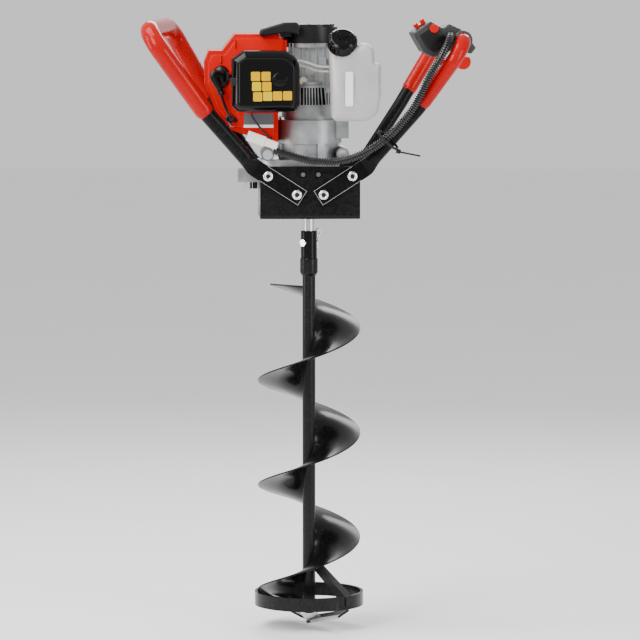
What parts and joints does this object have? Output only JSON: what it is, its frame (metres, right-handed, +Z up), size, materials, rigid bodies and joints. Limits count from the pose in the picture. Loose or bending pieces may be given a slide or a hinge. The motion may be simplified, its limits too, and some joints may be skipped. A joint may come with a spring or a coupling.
{
  "type": "ice auger",
  "caption": "Petrol ice auger: two-stroke powerhead with reduction gearbox in a sheet frame with two hand loops, driving a screw bit with a ring cutter.",
  "frame": {"origin": "the tip of the bit's centre point", "axes": "+Z up along the bit, +X to the right hand loop, the front with the air filter faces -Y"},
  "size_m": [0.6114, 0.2991, 1.1225],
  "materials": {
    "black_frame": "gloss",
    "cast_aluminium": "satin cast",
    "machined_steel": "machined",
    "zinc_fasteners": "bright zinc",
    "black_plastic": "gloss",
    "black_rubber": "matte",
    "red_shroud": "gloss",
    "red_grip": "dipped, gloss",
    "red_plastic": "satin",
    "tank_plastic": "translucent, satin",
    "filter_foam": "open foam",
    "muffler_steel": "matt heatproof",
    "bit_paint": "satin",
    "blade_steel": "ground"
  },
  "bodies": {
    "powerhead": {"frame_bracket": "black_frame", "left_loop": "black_frame", "right_loop": "black_frame", "gear_case": "cast_aluminium", "gear_case_cover": "cast_aluminium", "clutch_housing": "cast_aluminium", "fan_housing": "cast_aluminium", "crankcase": "cast_aluminium", "cylinder": "cast_aluminium", "carburettor": "cast_aluminium", "bearings": "machined_steel", "piston": "machined_steel", "spark_plug": "machined_steel", "case_bolts": "zinc_fasteners", "loop_bolts": "zinc_fasteners", "filter_base": "black_plastic", "filter_cover": "black_plastic", "recoil_housing": "black_plastic", "throttle_housing_front": "black_plastic", "throttle_housing_rear": "black_plastic", "ignition_coil": "black_plastic", "oil_seal": "black_rubber", "plug_boot": "black_rubber", "plug_lead": "black_rubber", "conduit": "black_rubber", "stop_wire": "black_rubber", "cable_tie": "black_rubber", "engine_shroud": "red_shroud", "left_grip": "red_grip", "right_grip": "red_grip", "fuel_tank": "tank_plastic", "fuel_hoses": "tank_plastic", "wire_connector": "tank_plastic", "filter_element": "filter_foam", "muffler": "muffler_steel"},
    "bit": {"output_gear": "machined_steel", "output_shaft": "machined_steel", "bit_coupling": "bit_paint", "clevis_pin": "zinc_fasteners", "r_clip": "zinc_fasteners", "drill_tube": "bit_paint", "flight_upper": "bit_paint", "flight_lower": "bit_paint", "cutter_ring": "bit_paint", "cutter_blades": "blade_steel"},
    "layshaft": {"intermediate_gear": "machined_steel"},
    "clutch_input": {"input_pinion": "machined_steel", "clutch_drum": "machined_steel"},
    "crank": {"clutch_shoes": "machined_steel", "flywheel": "machined_steel", "crankshaft": "machined_steel"},
    "reel": {"starter_reel": "tank_plastic"},
    "pull": {"pull_handle": "black_plastic"},
    "filter_screw": {"filter_knob": "black_plastic"},
    "choke": {"choke_lever": "black_plastic"},
    "cap": {"fuel_cap": "black_plastic", "cap_gasket": "black_rubber"},
    "trigger": {"throttle_trigger": "red_plastic"},
    "lock": {"lock_button": "red_plastic"},
    "switch": {"stop_switch": "red_plastic"}
  },
  "joints": [
    {"name": "bit_spin", "type": "hinge", "parent": "powerhead", "child": "bit", "pos_m": [0, 0, 0.75], "axis": [0, 0, 1], "continuous": true},
    {"name": "layshaft_spin", "type": "hinge", "parent": "powerhead", "child": "layshaft", "pos_m": [-0.045, 0, 0.81], "axis": [0, 0, 1], "continuous": true},
    {"name": "input_spin", "type": "hinge", "parent": "powerhead", "child": "clutch_input", "pos_m": [0, 0, 0.85], "axis": [0, 0, 1], "continuous": true},
    {"name": "crank_spin", "type": "hinge", "parent": "powerhead", "child": "crank", "pos_m": [0, 0, 0.95], "axis": [0, 0, 1], "continuous": true},
    {"name": "starter_pull", "type": "slide", "parent": "powerhead", "child": "pull", "axis": [0, -1, 0], "range_m": [0, 0.5], "stiffness_N_per_m": 4, "springref_m": -0.4},
    {"name": "reel_spin", "type": "hinge", "parent": "powerhead", "child": "reel", "pos_m": [0, 0, 1.1], "axis": [0, 0, 1], "range_deg": [0, 960]},
    {"name": "filter_knob_turn", "type": "hinge", "parent": "powerhead", "child": "filter_screw", "pos_m": [-0.057, -0.14, 1.0165], "axis": [0, -1, 0], "range_deg": [0, 360]},
    {"name": "choke_turn", "type": "hinge", "parent": "powerhead", "child": "choke", "pos_m": [-0.105, -0.0955, 1.022], "axis": [0, 1, 0], "range_deg": [0, 14]},
    {"name": "cap_turn", "type": "hinge", "parent": "powerhead", "child": "cap", "pos_m": [0.057, -0.111, 1.071], "axis": [0, -0.7071, 0.7071], "range_deg": [0, 540]},
    {"name": "trigger_squeeze", "type": "hinge", "parent": "powerhead", "child": "trigger", "pos_m": [0.23385, -0.06468, 1.069], "axis": [0.117, -0.9931, 0], "range_deg": [0, 4], "stiffness_Nm_per_rad": 0.4, "springref_deg": -17.19},
    {"name": "lock_press", "type": "slide", "parent": "powerhead", "child": "lock", "axis": [-0.117, 0.9931, 0], "range_m": [0, 0.004], "stiffness_N_per_m": 250, "springref_m": -0.004},
    {"name": "switch_slide", "type": "slide", "parent": "powerhead", "child": "switch", "axis": [-0.8184, -0.0965, -0.5665], "range_m": [0, 0.006]}
  ],
  "couplings": [
    {"joint": "layshaft_spin", "follows": "bit_spin", "ratio": -4},
    {"joint": "input_spin", "follows": "bit_spin", "ratio": 20},
    {"joint": "reel_spin", "follows": "starter_pull", "rad_per_m": 33.333}
  ]
}
